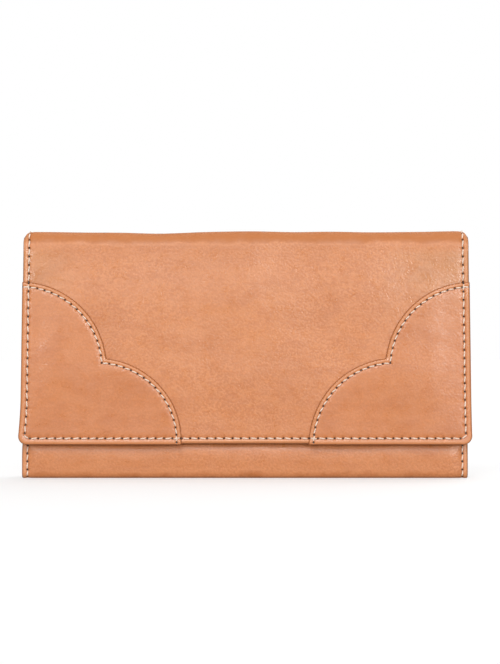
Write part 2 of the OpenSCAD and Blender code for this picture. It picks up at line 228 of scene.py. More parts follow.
def swell(x, s):
    """How far the flap's outer leather rises over its padded middle, between its stitched edges."""
    side = smooth((half_at(s) - np.abs(x) - SWELL_EDGE) / 15)
    return SWELL_HIGH * side * smooth((S_END - s - SWELL_EDGE) / 30) * smooth((s - S_FLAP - 1) / 26)


def wrap(x, s, depth):
    p, n = WRAP.at(s)
    out = (billow(x, s) - depth)[:, None]
    y, z = (p + n * out).T
    return np.column_stack([x + lean(x, p[:, 1]), y - paunch(x, s), z])


def proud(x, s, depth):
    """The outer face of the flap, where the corner panels and the stitches lie."""
    return wrap(x, s, depth - swell(x, s))


# ---- meshes
def add_object(name, mesh):
    obj = bpy.data.objects.new(name, mesh)
    SCENE.collection.objects.link(obj)
    return obj


def face_outward(mesh):
    """Turns a closed mesh's faces outward, where the way its points were placed mirrored it."""
    solid = bmesh.new()
    solid.from_mesh(mesh)
    if solid.calc_volume(signed=True) < 0:
        mesh.flip_normals()
    solid.free()


def recalculate(obj, merge=False):
    """Makes a mesh's faces agree on which way is out, once its doubled points are merged if it has any."""
    mesh = bmesh.new()
    mesh.from_mesh(obj.data)
    if merge:
        bmesh.ops.remove_doubles(mesh, verts=mesh.verts, dist=1e-7)
    bmesh.ops.recalc_face_normals(mesh, faces=mesh.faces)
    mesh.to_mesh(obj.data)
    mesh.free()


def make_object(name, co, faces, materials, attributes=None, indices=None):
    mesh = bpy.data.meshes.new(name)
    mesh.from_pydata((np.asarray(co) / 1000).tolist(), [], [list(map(int, f)) for f in faces])
    for material in materials:
        mesh.materials.append(material)
    mesh.polygons.foreach_set("use_smooth", [True] * len(mesh.polygons))
    if indices is not None:
        mesh.polygons.foreach_set("material_index", indices)
    for key, value in (attributes or {}).items():
        value = np.asarray(value, np.float32)
        kind, slot = ("FLOAT_VECTOR", "vector") if value.ndim == 2 else ("FLOAT", "value")
        mesh.attributes.new(key, kind, "POINT").data.foreach_set(slot, value.ravel())
    mesh.validate()
    mesh.update()
    face_outward(mesh)
    return add_object(name, mesh)


def tube(count, around, start=0, capped=True, mirrored=False):
    """Faces round a tube of count rings of points, with its first point numbered start."""
    faces = []
    for a in range(start, start + (count - 1) * around, around):
        for m in range(around):
            n = (m + 1) % around
            faces.append([a + m, a + n, a + around + n, a + around + m])
    if capped:
        ring = list(range(start, start + around))
        faces += [ring[::-1], [m + (count - 1) * around for m in ring]]
    return [face[::-1] for face in faces] if mirrored else faces


def circle(n):
    """The cosines and sines of n points round a circle."""
    t = np.linspace(0, 2 * math.pi, n, endpoint=False)
    return np.column_stack([np.cos(t), np.sin(t)])


def away(points, a, b):
    """Each point's distance to the nearest of the segments a-b."""
    best = np.full(len(points), 1e9)
    if len(a) == 0:
        return best
    d = b - a
    size = np.maximum((d**2).sum(1), 1e-12)
    for k in range(0, len(points), 2000):
        p = points[k : k + 2000, None, :]
        t = np.clip(((p - a) * d).sum(2) / size, 0, 1)
        best[k : k + 2000] = np.sqrt((((a + t[..., None] * d) - p) ** 2).sum(2)).min(1)
    return best


def nearest(points, others):
    """Each point's distance to the nearest of some others."""
    return np.sqrt(((points[:, None] - others) ** 2).sum(2)).min(1)


def inside(points, ring):
    a, b = ring, np.roll(ring, -1, 0)
    hit = np.zeros(len(points), bool)
    for k in range(len(a)):
        cross = (a[k, 1] > points[:, 1]) != (b[k, 1] > points[:, 1])
        if cross.any():
            share = (points[:, 1] - a[k, 1]) * (b[k, 0] - a[k, 0]) / (b[k, 1] - a[k, 1] + 1e-12)
            hit ^= cross & (points[:, 0] < a[k, 0] + share)
    return hit


def resample(line, step, closed=False):
    line = np.asarray(line, float)
    if closed:
        line = np.vstack([line, line[:1]])
    out = []
    for p, q in zip(line[:-1], line[1:]):
        n = max(1, int(round(np.linalg.norm(q - p) / step)))
        out.append(p + (q - p) * np.linspace(0, 1, n, endpoint=False)[:, None])
    if not closed:
        out.append(line[-1:])
    return np.vstack(out)


def run_of(line):
    """How far along a line each of its points lies."""
    return np.r_[0, np.cumsum(np.linalg.norm(np.diff(line, axis=0), axis=1))]


class Row:
    """A row of stitches along a line in (x, s): needle holes with a stitch between each two."""

    def __init__(self, line, pitch=PITCH, holes=(True, True)):
        line = resample(line, 0.25)
        run = run_of(line)
        count = max(1, int(round(run[-1] / pitch)))
        at = np.linspace(0, run[-1], count + 1)
        mid = (at[:-1] + at[1:]) / 2
        x, s = line.T
        ends = np.column_stack([np.interp(at, run, x), np.interp(at, run, s)])
        self.centres = np.column_stack([np.interp(mid, run, x), np.interp(mid, run, s)])
        self.line = resample(line[::3] if len(line) > 6 else line, 0.9)
        d = np.diff(ends, axis=0)
        self.angles = np.arctan2(d[:, 1], d[:, 0])
        self.lengths = np.linalg.norm(d, axis=1)
        self.holes = ends[0 if holes[0] else 1 : len(ends) if holes[1] else -1]


HOLE_R, GROOVE, RIM_WIDE = 0.3, 0.6, 2.2


def panel(
    name, outline, depths, materials,
    place=wrap, flush=None, rows=(), grid=1.7, rim=0.0, rise=None, under=None,
):
    """A sheet cut to an outline in (x, s), with rounded edges, sunk stitch lines and needle holes.
    flush says of a point on the outline that the sheet is cut square there, to meet its neighbour.
    rim is the height of the bead inside the edge, and rise and under move the outer and the inner face."""
    ring = resample(outline, 1.1, closed=True)
    after = np.roll(ring, -1, 0)
    if (ring[:, 0] * after[:, 1] - after[:, 0] * ring[:, 1]).sum() < 0:
        ring = ring[::-1]
    a, b = ring, np.roll(ring, -1, 0)
    middle = (a + b) / 2
    free = np.ones(len(a), bool) if flush is None else ~np.array([bool(flush(m)) for m in middle])
    thick = depths[1] - depths[0]
    r = thick * 0.47
    tangent = b - a
    normal = np.column_stack([-tangent[:, 1], tangent[:, 0]]) / np.linalg.norm(tangent, axis=1)[:, None]

    # points along the edge, then along the stitches and round the holes, then on a grid over the rest
    points = [ring]
    levels = [0.12 * r, 0.4 * r, r, r + 0.5, r + 1.1]
    for level in levels:
        p = middle[free] + normal[free] * level
        keep = away(p, a[free], b[free]) > level * 0.985
        points.append(p[keep & inside(p, ring)])
    lines = [row.line for row in rows]
    holes = np.vstack([row.holes for row in rows]) if rows else np.zeros((0, 2))
    for line in lines:
        d = np.gradient(line, axis=0)
        side = np.column_stack([-d[:, 1], d[:, 0]]) / np.maximum(np.linalg.norm(d, axis=1), 1e-9)[:, None]
        p = np.vstack([line, line + side * 0.5, line - side * 0.5])
        p = p[nearest(p, holes) > 0.8]
        points.append(p[inside(p, ring) & (away(p, a, b) > 0.3)])
    for h in holes:
        p = np.vstack([[h], h + HOLE_R * circle(6), h + 2 * HOLE_R * circle(9)])
        points.append(p[inside(p, ring)])
    lo, hi = ring.min(0), ring.max(0)
    gx = np.arange(lo[0] + grid * 0.37, hi[0], grid)
    gy = np.arange(lo[1] + grid * 0.31, hi[1], grid * 0.866)
    mx, my = np.meshgrid(gx, gy)
    mx = mx + (np.arange(len(gy)) % 2)[:, None] * grid / 2
    p = np.column_stack([mx.ravel(), my.ravel()])
    p = p[inside(p, ring)]
    keep = (away(p, a[free], b[free]) > levels[-1] + 0.4 * grid) & (away(p, a, b) > 0.5)
    if lines:
        keep &= nearest(p, np.vstack(lines)[::2]) > 0.95
    points.append(p[keep])
    n = len(ring)
    edges = [(k, (k + 1) % n) for k in range(n)]
    corners = [Vector(q) for q in np.vstack(points).tolist()]
    verts, _, tris, *_ = delaunay_2d_cdt(corners, edges, [], 1, 1e-5)
    xy = np.array([v[:] for v in verts])
    tris = np.array([t for t in tris if len(t) == 3], int)

    # the triangulation's own outline, whatever points it merged
    order = np.concatenate([tris[:, [0, 1]], tris[:, [1, 2]], tris[:, [2, 0]]])
    _, index, shared = np.unique(np.sort(order, axis=1), axis=0, return_index=True, return_counts=True)
    border = order[index[shared == 1]]

    far = np.full(len(xy), 9.0)
    d = away(xy, a[free], b[free])
    d_row, d_hole = far, far
    if rows:
        d_row = away(xy, np.vstack([line[:-1] for line in lines]), np.vstack([line[1:] for line in lines]))
        d_hole = nearest(xy, holes)
    turned_in = r - np.clip(d, 0, r)
    rounding = r - np.sqrt(np.maximum(r * r - turned_in**2, 0))
    raised = rim * smooth(d / 0.8) * smooth((RIM_WIDE - d) / 0.8) + (rise(*xy.T) if rise else 0.0)
    groove = min(0.24, thick * 0.25) * np.exp(-((d_row / GROOVE) ** 2))
    # how deep in a needle hole each point lies: the leather sinks there, and the leather's material paints
    # the shade inside the hole near black by it
    mark = smooth((0.56 - d_hole) / 0.26)
    front = depths[0] + rounding - raised + groove + min(0.4, thick * 0.35) * mark
    back = depths[1] - rounding + (under(*xy.T) if under else 0.0)
    co = np.vstack([place(*xy.T, front), place(*xy.T, back)])
    count = len(xy)
    walls = [(i, j, j + count, i + count) for i, j in border]
    faces = [t[::-1] for t in tris] + [t + count for t in tris] + walls
    indices = [0] * len(tris) + [len(materials) - 1] * len(tris) + [0] * len(walls)
    attributes = {
        "lay": np.vstack([np.column_stack([xy, front]), np.column_stack([xy, back])]) / 1000,
        "edge": np.r_[d, d].clip(0, 6),
        "mark": np.r_[mark, mark * 0],
        "fold": np.tile(creased(xy[:, 1]) if place in (wrap, proud) else xy[:, 0] * 0, 2),
    }
    obj = make_object(name, co, faces, materials, attributes, indices)
    if flush is not None:
        square = {k for k in range(count) if flush(xy[k])}
        mesh = obj.data
        ends = [tuple(e.vertices) for e in mesh.edges]
        flags = [i % count in square and j % count in square and (i < count) == (j < count) for i, j in ends]
        mesh.attributes.new("sharp_edge", "BOOLEAN", "EDGE").data.foreach_set("value", flags)
    return obj


def creased(s):
    """1 in the folds over the top and at the base, 0 on the flat leather, with a slope 4 mm wide between."""

    def band(low_end, high_end, share=1.0):
        return share * np.clip(0.5 + np.minimum(s - low_end, high_end - s) / 4, 0, 1)

    return np.maximum.reduce([
        band(S_FORE - 1, S_FLAP - 1), band(S_REAR + 1, S_TOP + 1),
        band(S_TOE - 2, S_BASE + 1, 0.4), band(S_HEEL - 1, S_BACK + 2, 0.4),
    ])


PLY_TURN = 0.62  # the thread's ply goes round once in this length
BASE_SINK = 0.5  # the stitches under the base lie in the leather, and clear of the floor


def stitches(name, rows, depth, place=wrap, width=0.64, slant=9):
    """The thread of some rows: a short twisted bar between each two needle holes."""
    rings, around = 9, 8
    u = np.linspace(-1, 1, rings)
    phi = np.tile(np.linspace(0, 2 * math.pi, around, endpoint=False), rings)
    radius = np.repeat(width / 2 * np.sqrt(np.maximum(1 - np.abs(u) ** 3.2, 0.03)), around)
    lift = np.repeat(0.28 * (1 - u**4) - 0.1, around)
    across = radius * np.cos(phi)
    out = lift + 0.85 * radius * np.sin(phi)
    co, faces, ply = [], [], []
    for row in rows:
        for c, angle, length in zip(row.centres, row.angles, row.lengths):
            angle = angle + math.radians(slant)
            along = np.repeat(u * (length - 0.8) / 2, around)
            x = c[0] + along * math.cos(angle) - across * math.sin(angle)
            s = c[1] + along * math.sin(angle) + across * math.cos(angle)
            sunk = BASE_SINK * smooth((s - S_TOE) / 2) * smooth((S_BACK - s) / 2) if place is wrap else 0.0
            faces += tube(rings, around, len(co) * rings * around)
            co.append(place(x, s, depth - out + sunk))
            ply.append(along * 2 * math.pi / PLY_TURN + phi)
    obj = make_object(name, np.vstack(co), faces, [THREAD], {"ply": np.concatenate(ply)})
    recalculate(obj)
    return obj


def soften(obj, bevel, material):
    """Bevels a solid's sharp edges and gives it its material."""
    modifier = obj.modifiers.new("edges", "BEVEL")
    modifier.width = bevel / 1000
    modifier.segments = 2
    modifier.limit_method = "ANGLE"
    modifier.angle_limit = math.radians(35)
    done = bpy.data.meshes.new_from_object(obj.evaluated_get(bpy.context.evaluated_depsgraph_get()))
    obj.modifiers.clear()
    obj.data = done
    done.materials.clear()
    done.materials.append(material)
    done.polygons.foreach_set("use_smooth", [True] * len(done.polygons))
    done.set_sharp_from_angle(angle=math.radians(38))


def bevelled(name, parts, bevel, material):
    """Solids cut from outlines: each part is (outline in the other two axes, axis, start, end)."""
    co, faces = [], []
    for outline, axis, start, end in parts:
        faces += tube(2, len(outline), len(co))
        co += [p for level in (start, end) for p in np.insert(outline, axis, level, axis=1)]
    obj = make_object(name, co, faces, [material])
    recalculate(obj)
    soften(obj, bevel, material)
    return obj


def turned(name, profile, centre, material, around=64):
    """A body turned about a line along Y through centre (x, z); profile is (radius, y) from front to back."""
    co = np.vstack([np.insert(centre + r * circle(around), 1, y, axis=1) for r, y in profile])
    faces = tube(len(profile), around, capped=profile[0] != profile[-1])
    obj = make_object(name, co, faces, [material])
    recalculate(obj, merge=True)
    obj.data.set_sharp_from_angle(angle=math.radians(40))
    return obj


# ---- materials
class Nodes:
    """Short ways of adding nodes to a shader tree. Each gives the socket that another node takes."""

    def __init__(self, tree):
        self.tree = tree

    def put(self, node, sockets):
        """Links a node's inputs to other sockets, and sets those that are given as plain values."""
        for key, value in sockets.items():
            if isinstance(value, bpy.types.NodeSocket):
                self.tree.links.new(value, node.inputs[key])
            else:
                node.inputs[key].default_value = value

    def add(self, kind, sockets=None, output=0, **settings):
        node = self.tree.nodes.new("ShaderNode" + kind)
        for key, value in settings.items():
            setattr(node, key, value)
        self.put(node, sockets or {})
        return node.outputs[output]

    def calc(self, operation, a, b=0.0, c=0.0):
        return self.add("Math", {0: a, 1: b, 2: c}, operation=operation)

    def times(self, a, b):
        return self.calc("MULTIPLY", a, b)

    def times_plus(self, a, b, c):
        return self.calc("MULTIPLY_ADD", a, b, c)

    def mix(self, factor, a, b, blend="MIX"):
        sockets = {0: factor, 6: a, 7: b}
        return self.add("Mix", sockets, 2, data_type="RGBA", blend_type=blend, clamp_factor=True)

    def over(self, colour, *layers):
        """A colour under layers, each given as how much it covers and its own colour."""
        for share, layer in layers:
            colour = self.mix(share, colour, layer)
        return colour

    def tint(self, colour, by):
        return self.mix(1.0, colour, by, "MULTIPLY")

    def remap(self, value, a, b, c=0.0, d=1.0):
        """Takes a..b smoothly to c..d."""
        return self.add("MapRange", {0: value, 1: a, 2: b, 3: c, 4: d}, interpolation_type="SMOOTHSTEP")

    def noise(self, vector, scale, detail=3.0, roughness=0.55):
        sockets = {"Vector": vector, "Scale": scale, "Detail": detail, "Roughness": roughness}
        return self.add("TexNoise", sockets, "Fac")

    def ribs(self, vector, scale, distortion, detail_scale=1.0):
        sockets = {"Vector": vector, "Scale": scale, "Distortion": distortion, "Detail": 1.0}
        return self.add("TexWave", sockets | {"Detail Scale": detail_scale}, "Fac")

    def attribute(self, name, output="Fac"):
        return self.add("Attribute", None, output, attribute_name=name)

    def where(self):
        return self.add("TexCoord", None, "Object")

    def stretched(self, vector, scale, turn=0.0):
        return self.add("Mapping", {"Vector": vector, "Scale": scale, "Rotation": (0, 0, turn)})

    def grey(self, value):
        return self.add("CombineColor", {0: value, 1: value, 2: value})

    def bump(self, strength, distance, height, **normal):
        return self.add("Bump", {"Strength": strength, "Distance": distance, "Height": height, **normal})

    def to_camera(self, elsewhere, seen):
        """One value for everything but the camera's own rays, and another for those."""
        return self.remap(self.add("LightPath", None, "Is Camera Ray"), 0.0, 1.0, elsewhere, seen)


def new_material(name):
    material = bpy.data.materials.new(name)
    material.use_nodes = True
    return material, Nodes(material.node_tree), material.node_tree.nodes["Principled BSDF"]


def rgb(r, g, b):
    """An sRGB colour out of 255 as a linear one."""
    linear = [c / 255 / 12.92 if c <= 10 else ((c / 255 + 0.055) / 1.055) ** 2.4 for c in (r, g, b)]
    return (*linear, 1.0)


def shade(colour, *by):
    return tuple(c * k for c, k in zip(colour, by)) + (1.0,)


# where the flap's upper corners get a painted sheen and a little less roughness, in metres: from x to x on
# each side, and from s to s
PAINTED_SHEEN_RIGHT, PAINTED_SHEEN_LEFT = (0.045, 0.088), (-0.066, -0.09)
PAINTED_SHEEN_FROM = (S_FLAP / 1000, S_FLAP / 1000 + 0.005)
PAINTED_SHEEN_TO = (S_FLAP / 1000 + 0.046, S_FLAP / 1000 + 0.014)
# colours over the leather's own: on higher grain, in the grain, in folds, a painted sheen on the flap's upper
# corners, a painted highlight along the turned edge, and the dark cut edge, which also paints the shade along
# it
LIGHT, DEEP, FOLDED = (1.08, 1.1, 1.1), (0.87, 0.78, 0.68), (0.79, 0.68, 0.42)
PAINTED_SHEEN, TURNED_EDGE_HIGHLIGHT, CUT_EDGE_AND_SHADE = (0.96, 1.13, 1.36, 1.0), (1.1, 1.24, 1.4), (0.5, 0.4, 0.33)
# the near-black of the needle holes, painted shade inside them
NEEDLE_HOLE_SHADE = rgb(38, 16, 8)


def leather(name, tone, grain=1.0, seed=0.0, roughness=0.33, sheen_and_polish=1.0):
    """Pebbled leather: softly mottled, darker and more orange in its folds, with a painted highlight on its
    turned edges, a painted sheen on the flap's upper corners, and dark cut edges that also paint the shade
    along them.
    grain is how deep its pebbles are, and the last argument how strong the painted sheen and the lower
    roughness on those corners are."""
    material, t, shader = new_material(name)
    light, deep, fold = shade(tone, *LIGHT), shade(tone, *DEEP), shade(tone, *FOLDED)
    flat, bent_by, edge = t.attribute("lay", "Vector"), t.attribute("fold"), t.attribute("edge")
    lay = t.add("VectorMath", {0: flat, 1: (seed, seed * 0.7, 0)}, operation="ADD")
    warp = t.add("TexNoise", {"Vector": lay, "Scale": 420.0, "Detail": 2.0}, "Color")
    bent = t.add("VectorMath", {0: warp, 1: (0.0006, 0.0006, 0.0), 2: lay}, operation="MULTIPLY_ADD")
    cell = t.add("TexVoronoi", {"Vector": bent, "Scale": 980.0, "Randomness": 0.9}, "Distance", feature="F1")
    pores = t.noise(lay, 2600.0, 2.0)
    soft = t.noise(lay, 95.0, 4.0, 0.6)
    wide = t.noise(t.stretched(lay, (0.75, 1.4, 1.0), 0.35), 34.0, 4.0, 0.62)
    streak = t.noise(t.stretched(lay, (0.35, 1.9, 1.0), -0.22), 130.0, 3.0, 0.6)
    ridges = {"Scale": 60.0, "Detail": 5.0, "Roughness": 0.7, "Offset": 0.9, "Gain": 1.6}
    ridges["Vector"] = t.stretched(bent, (0.5, 1.3, 1.0), 0.5)
    crinkle = t.add("TexNoise", ridges, "Fac", noise_type="RIDGED_MULTIFRACTAL")
    firm = t.remap(t.noise(lay, 21.0, 2.0), 0.35, 0.65, 0.55, 1.0)
    pits = t.times(t.remap(cell, 0.36, 0.1), firm)
    pebble = t.remap(t.noise(bent, 1000.0, 1.0, 0.5), 0.36, 0.64)

    # mottling, grain and creases
    veins = t.times(t.remap(crinkle, 0.9, 1.6), 0.35)
    colour = t.over(
        tone, (t.remap(wide, 0.35, 0.68), light), (t.times(t.remap(soft, 0.45, 0.7), 0.42), deep),
        (t.times(t.remap(streak, 0.5, 0.7), 0.34), deep), (t.times(pits, 0.22 * grain), deep),
        (t.times(pebble, t.times(firm, 0.85 * grain)), deep), (veins, light),
    )
    colour = t.tint(colour, t.grey(t.remap(t.noise(lay, 900.0, 3.0, 0.7), 0.42, 0.62, 0.96, 1.03)))

    # the folds, with a ragged paler line beside each crease
    ragged = t.times_plus(soft, 1.1, t.calc("ADD", bent_by, -0.55))
    bent_over = t.remap(bent_by, 0.0, 0.12)
    crease = t.times(t.remap(ragged, 0.34, 0.66), bent_over)
    paler = t.times(t.times(t.remap(ragged, 0.22, 0.33), t.remap(ragged, 0.44, 0.34)), bent_over)
    crease = t.times(crease, t.times_plus(streak, 0.5, 0.5))
    colour = t.over(colour, (t.times(paler, 0.3), light), (crease, fold))

    # the flap's upper corners: a painted sheen, stronger on the right, where the leather is also a little
    # glossier
    across, along = t.add("SeparateXYZ", {0: flat}, slice(2))
    sides = t.calc("MAXIMUM", t.remap(across, *PAINTED_SHEEN_RIGHT), t.times(t.remap(across, *PAINTED_SHEEN_LEFT), 0.7))
    sheen_and_gloss = t.times(sides, t.times(t.remap(along, *PAINTED_SHEEN_FROM), t.remap(along, *PAINTED_SHEEN_TO)))
    sheen_and_gloss = t.times(sheen_and_gloss, t.remap(soft, 0.3, 0.7, 0.6 * sheen_and_polish, 1.2 * sheen_and_polish))
    colour = t.mix(sheen_and_gloss, colour, t.tint(colour, PAINTED_SHEEN))

    # a painted highlight along the turned edges, the dark cut edge that also paints the shade along it, and
    # the needle holes, their insides painted dark as shade
    colour = t.over(
        colour, (t.remap(edge, 1.9, 1.5, 0.0, 0.6), shade(tone, *TURNED_EDGE_HIGHLIGHT)),
        (t.remap(edge, 0.42, 0.1, 0.0, 0.85), shade(tone, *CUT_EDGE_AND_SHADE)), (t.attribute("mark"), NEEDLE_HOLE_SHADE),
    )

    height = t.times_plus(pebble, -0.9 * grain, t.times(pores, 0.3 * grain))
    height = t.times_plus(crinkle, -0.08, t.times_plus(pits, -0.3 * grain, height))
    gloss = t.remap(t.noise(lay, 210.0, 3.0), 0.3, 0.7, roughness - 0.06, roughness + 0.08)
    gloss = t.times_plus(bent_by, 0.42, t.times_plus(sheen_and_gloss, -0.06, gloss))
    fine = t.bump(0.8, 0.00003, height)
    sockets = {"Base Color": colour, "Normal": t.bump(0.35, 0.0006, soft, Normal=fine), "Roughness": gloss}
    t.put(shader, sockets | {"Specular IOR Level": 0.6})
    return material


def woven(name, warp_colour, weft_colour, scale, angle=math.pi / 4):
    """Twill: diagonal ribs crossed by finer threads."""
    material, t, shader = new_material(name)
    lay = t.attribute("lay", "Vector")
    ribs = t.ribs(t.stretched(lay, (1, 1, 0), angle), scale, 0.6, 2.0)
    picks = t.ribs(t.stretched(lay, (1, 1, 0)), scale * 1.6, 0.4)
    weave = t.times_plus(picks, 0.4, t.times(ribs, 0.6))
    uneven = t.grey(t.remap(t.noise(lay, 140.0, 4.0), 0.3, 0.7, 0.94, 1.05))
    colour = t.tint(t.mix(weave, weft_colour, warp_colour), uneven)
    sockets = {"Base Color": colour, "Normal": t.bump(0.6, 0.00015, weave), "Roughness": 0.8}
    t.put(shader, sockets | {"Sheen Weight": 0.25, "Sheen Roughness": 0.5})
    return material


def metal(name, colour, roughness):
    """Metal with a slight haze and fine scratches."""
    material, t, shader = new_material(name)
    where = t.where()
    haze = t.noise(where, 900.0, 4.0, 0.65)
    lines = t.noise(t.stretched(where, (0.2, 3.0, 1.0), 0.4), 1500.0, 2.0)
    tone = t.grey(t.remap(t.noise(where, 220.0, 3.0), 0.3, 0.7, 0.96, 1.02))
    t.put(shader, {
        "Base Color": t.tint(colour, tone), "Normal": t.bump(0.05, 0.00005, lines), "Metallic": 1.0,
        "Roughness": t.remap(haze, 0.3, 0.7, roughness - 0.03, roughness + 0.04),
    })
    return material


def waxed_thread():
    material, t, shader = new_material("thread")
    twist = t.calc("SINE", t.attribute("ply"))
    fuzz = t.noise(t.where(), 6000.0, 2.0)
    ply = (t.remap(twist, -1.0, 0.2), rgb(255, 238, 222))
    colour = t.over(rgb(214, 172, 142), ply, (t.remap(fuzz, 0.3, 0.7, 0.0, 0.2), rgb(214, 178, 146)))
    bump = t.bump(0.7, 0.00012, t.times_plus(fuzz, 0.3, twist))
    t.put(shader, {"Base Color": colour, "Normal": bump, "Roughness": 0.6, "Sheen Weight": 0.2})
    return material


TAN = leather("leather_tan", rgb(196, 125, 77))
TRIM = leather("leather_corner", rgb(191, 118, 69), grain=0.6, seed=0.37, sheen_and_polish=0.35)
INNER = leather("leather_inner", rgb(184, 120, 80), grain=0.8, seed=0.71, roughness=0.5)
TWILL = woven("lining_twill", rgb(150, 98, 60), rgb(112, 68, 38), 420.0)
TAPE = woven("zip_tape_weave", rgb(140, 88, 52), rgb(104, 62, 36), 700.0, 0.0)
THREAD = waxed_thread()
BRASS = metal("brass", rgb(200, 162, 100), 0.3)
STEEL = metal("steel", rgb(176, 174, 170), 0.35)
DARK_STEEL = metal("magnet_plating", rgb(120, 120, 124), 0.3)


# ---- the leather wrap
def side_row(sign, start, end, holes=(True, True)):
    s = np.linspace(start, end, 60)
    return Row(np.column_stack([sign * (half_at(s) - INSET), s]), holes=holes)


def bow(centre, radius, start, end, n=40):
    """Points along an arc."""
    x, y = centre
    return [(x + radius * math.cos(k), y + radius * math.sin(k)) for k in np.linspace(start, end, n)]


def rectangle(half, start, end, corner=0.0, ends=(True, True)):
    """An outline in (x, s) from start to end, its corners rounded at the ends asked for."""
    out = []
    for side, s, turn in ((-1, start, 180), (1, start, 270), (1, end, 0), (-1, end, 90)):
        w = side * (float(half(s)) if callable(half) else half)
        if corner and ends[s == end]:
            c = (w - side * corner, s + (corner if s == start else -corner))
            out += bow(c, corner, math.radians(turn), math.radians(turn + 90), 7)
        else:
            out.append((w, s))
    return np.array(out)


def metres(y, z):
    return (0.0, y / 1000, z / 1000)


REAR_FOLD = ("back", "top_fold", metres(Y_BACK, TOP - FOLD_R), metres(Y_BACK - FOLD_R, TOP))
FORE_FOLD = ("top_fold", "flap", metres(Y_FLAP + FOLD_R, TOP), metres(Y_FLAP, TOP - FOLD_R))
TOE_FOLD = ("back", "front_wall", metres(Y_FRONT + BASE_R, 0), metres(Y_FRONT, BASE_R))


def near(*values):
    return lambda p: any(abs(p[1] - value) < 1e-4 for value in values)


# the front wall and the front half of the base
EDGE_ROUND = 1.2
front_rows = [side_row(k, EDGE_ROUND, S_MID_BASE, (True, False)) for k in (-1, 1)]
front_shell = panel(
    "front_shell", rectangle(HALF, 0, S_MID_BASE, EDGE_ROUND, (True, False)), (0, LEATHER), [TAN],
    flush=near(S_MID_BASE), rows=front_rows, rim=0.08,
)
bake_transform(front_shell)
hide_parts("front_leather")
front_thread = stitches("front_stitches", front_rows, 0.0)
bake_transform(front_thread)
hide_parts("thread_front_sides")

# the back half of the base, the back and half of the top
back_rows = [side_row(k, S_MID_BASE, S_MID_TOP, (False, False)) for k in (-1, 1)]
back_shell = panel(
    "back_shell", rectangle(HALF, S_MID_BASE, S_MID_TOP), (0, LEATHER), [TAN],
    flush=near(S_MID_BASE, S_MID_TOP), rows=back_rows, grid=2.1, rim=0.08,
)
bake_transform(back_shell)
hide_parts("back_leather")
back_thread = stitches("back_stitches", back_rows, 0.0)
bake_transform(back_thread)
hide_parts("thread_back_sides")

# the other half of the top, and the flap
CORNER_R = 3.4
REACH = 68.3
ARC_R = 36.2
OVERHANG = 0.4
CORNER_T = 1.0
CORNER_GAP = FLAP_HALF - REACH
flap_rows = [side_row(k, S_MID_TOP, s_flap(FLAP_LOW + REACH), (False, True)) for k in (-1, 1)]
flap_rows.append(Row([(-CORNER_GAP, S_END - INSET), (CORNER_GAP, S_END - INSET)]))
flap_shell = panel(
    "flap_shell", rectangle(half_at, S_MID_TOP, S_END, CORNER_R, (False, True)), (0, LEATHER + BOARD), [TAN],
    flush=near(S_MID_TOP), rows=flap_rows, grid=1.5, rim=0.1, rise=swell,
    under=lambda x, s: -BOARD * smooth((S_FLAP + 4.5 - s) / 3.5),
)
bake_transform(flap_shell)
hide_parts("flap_leather", "top_leather", "flap_board")
border_thread = stitches("flap_border_stitches", flap_rows, 0.0, place=proud)
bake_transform(border_thread)
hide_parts("thread_flap_border")


# ---- corner panels
ROW_TURN = 2.2  # the radius of the border row's turn at the flap's corner
SCALLOP_INSET, SCALLOP_PITCH = INSET - 0.3, PITCH - 0.3


def flap_side(v):
    """How far the flap's side lies in from its lower corner, v above its lower edge."""
    return FLAP_HALF - float(half_at(s_flap(FLAP_LOW + v)))


def corner_shape(sign):
    """The panel's outline in (x, s), and its border row and scallop rows, on the left (-1) or the right (1).
    Its points are (u, v): u in from the flap's lower side, v up from its lower edge."""
    c = REACH - ARC_R
    r = CORNER_R + OVERHANG
    quarter = math.pi / 2

    def scallops(radius, upper_start, lower_end):
        """The two arcs that meet at the cusp: the upper one starts there, and the lower one ends there."""
        cusp = (c + math.sqrt(2 * radius**2 - c * c)) / 2
        upper = bow((0, c), radius, math.asin((cusp - c) / radius), upper_start)
        return upper, bow((c, 0), radius, lower_end, math.asin(cusp / radius))

    upper, lower = scallops(ARC_R, quarter, 0)
    top_v = c + math.sqrt(ARC_R**2 - flap_side(REACH) ** 2)
    outline = lower + [p for p in upper if p[0] > flap_side(p[1]) - OVERHANG]
    sides = [top_v, *np.linspace(top_v - 2, r - OVERHANG + 1, 24)]
    outline += [(flap_side(v) - OVERHANG, v) for v in sides]
    outline += bow((r - OVERHANG, r - OVERHANG), r, 2 * quarter, 3 * quarter, 9)
    outline += [(REACH - 0.5, -OVERHANG), (c + math.sqrt(ARC_R**2 - OVERHANG**2), -OVERHANG)]
    border = [(flap_side(v) + INSET, v) for v in np.linspace(top_v - 0.5, INSET + ROW_TURN, 40)]
    border += bow((INSET + ROW_TURN, INSET + ROW_TURN), ROW_TURN, 2 * quarter, 3 * quarter, 8)
    border += [(REACH - 0.3, INSET)]
    radius = ARC_R - SCALLOP_INSET
    upper, lower = scallops(radius, quarter - math.asin(0.6 / radius), math.radians(1.0))

    def on_flap(line):
        return np.array([(sign * (FLAP_HALF - u), s_flap(FLAP_LOW + v)) for u, v in line])

    rows = [Row(on_flap(line[::-1]), SCALLOP_PITCH) for line in (upper, lower)]
    return on_flap(outline), [Row(on_flap(border)), *rows]


for side_name, sign in SIDES:
    outline, rows = corner_shape(sign)
    overlay = panel(
        f"corner_overlay_{side_name}", outline, (-CORNER_T, -0.02), [TRIM],
        place=proud, rows=rows, grid=1.5, rim=0.14,
    )
    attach(overlay, "flap")
    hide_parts(f"corner_panel_{side_name}")
    thread = stitches(f"corner_stitches_{side_name}", rows, -CORNER_T, place=proud, slant=9 * sign)
    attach(thread, "flap")
    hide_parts(f"thread_corner_{side_name}")

# ---- linings
BACK_IN = LEATHER + LINING


